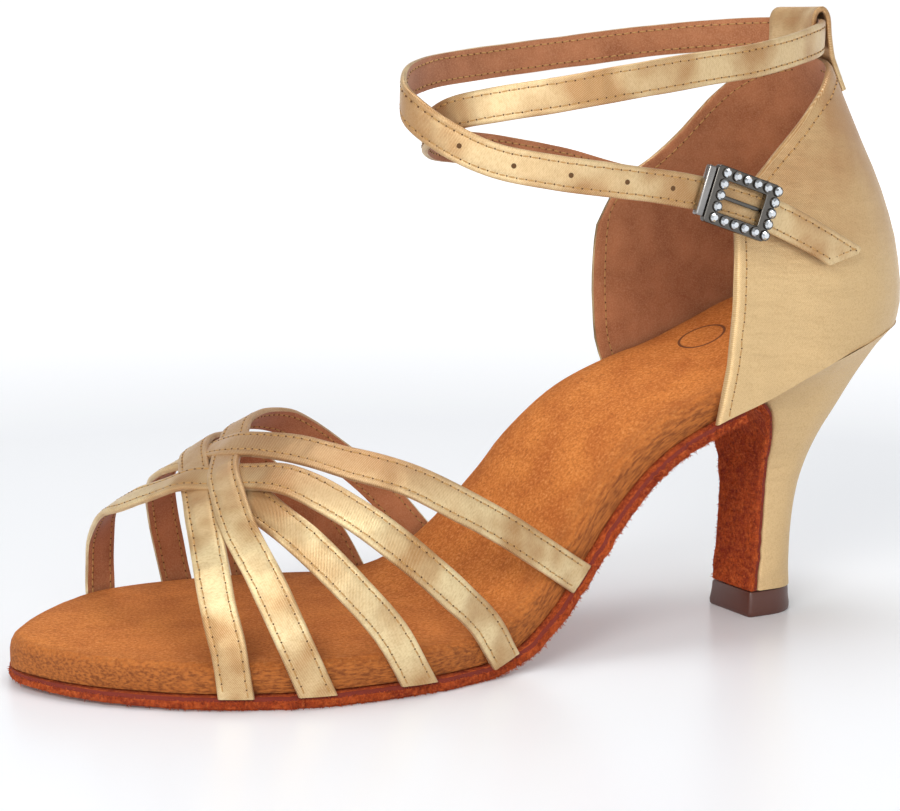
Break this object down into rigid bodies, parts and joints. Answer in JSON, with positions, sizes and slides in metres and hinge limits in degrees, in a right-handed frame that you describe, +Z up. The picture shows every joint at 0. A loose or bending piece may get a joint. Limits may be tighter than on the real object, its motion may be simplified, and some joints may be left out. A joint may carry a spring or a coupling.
{
  "type": "ballroom dance shoe",
  "caption": "Open-toed Latin dance sandal for the left foot: woven toe straps, padded insole, suede sole, closed counter, flared heel and a wrapped ankle strap with a stone-set buckle.",
  "frame": {"origin": "middle of the bounding box in X and Y, on the floor plane under the forefoot and the heel tip", "axes": "+X towards the toe, +Y to the outer side of the left foot, +Z up"},
  "size_m": [0.2146, 0.0848, 0.1444],
  "materials": {
    "satin": "satin",
    "insole_cloth": "brushed",
    "suede": "suede",
    "cap_plastic": "semi-gloss",
    "gunmetal": "dark plated",
    "crystal": "polished"
  },
  "bodies": {
    "root": {"outsole": "suede", "insole": "insole_cloth", "heel": "satin", "heel_cap": "cap_plastic", "heel_counter": "satin", "back_loop": "satin", "vamp_straps": "satin", "ankle_strap": "satin", "buckle_frame": "gunmetal", "buckle_prong": "gunmetal", "buckle_keeper": "gunmetal", "stone_01": "crystal", "stone_02": "crystal", "stone_03": "crystal", "stone_04": "crystal", "stone_05": "crystal", "stone_06": "crystal", "stone_07": "crystal", "stone_08": "crystal", "stone_09": "crystal", "stone_10": "crystal", "stone_11": "crystal", "stone_12": "crystal", "stone_13": "crystal", "stone_14": "crystal", "stone_15": "crystal", "stone_16": "crystal", "stone_17": "crystal", "stone_18": "crystal"}
  },
  "joints": []
}
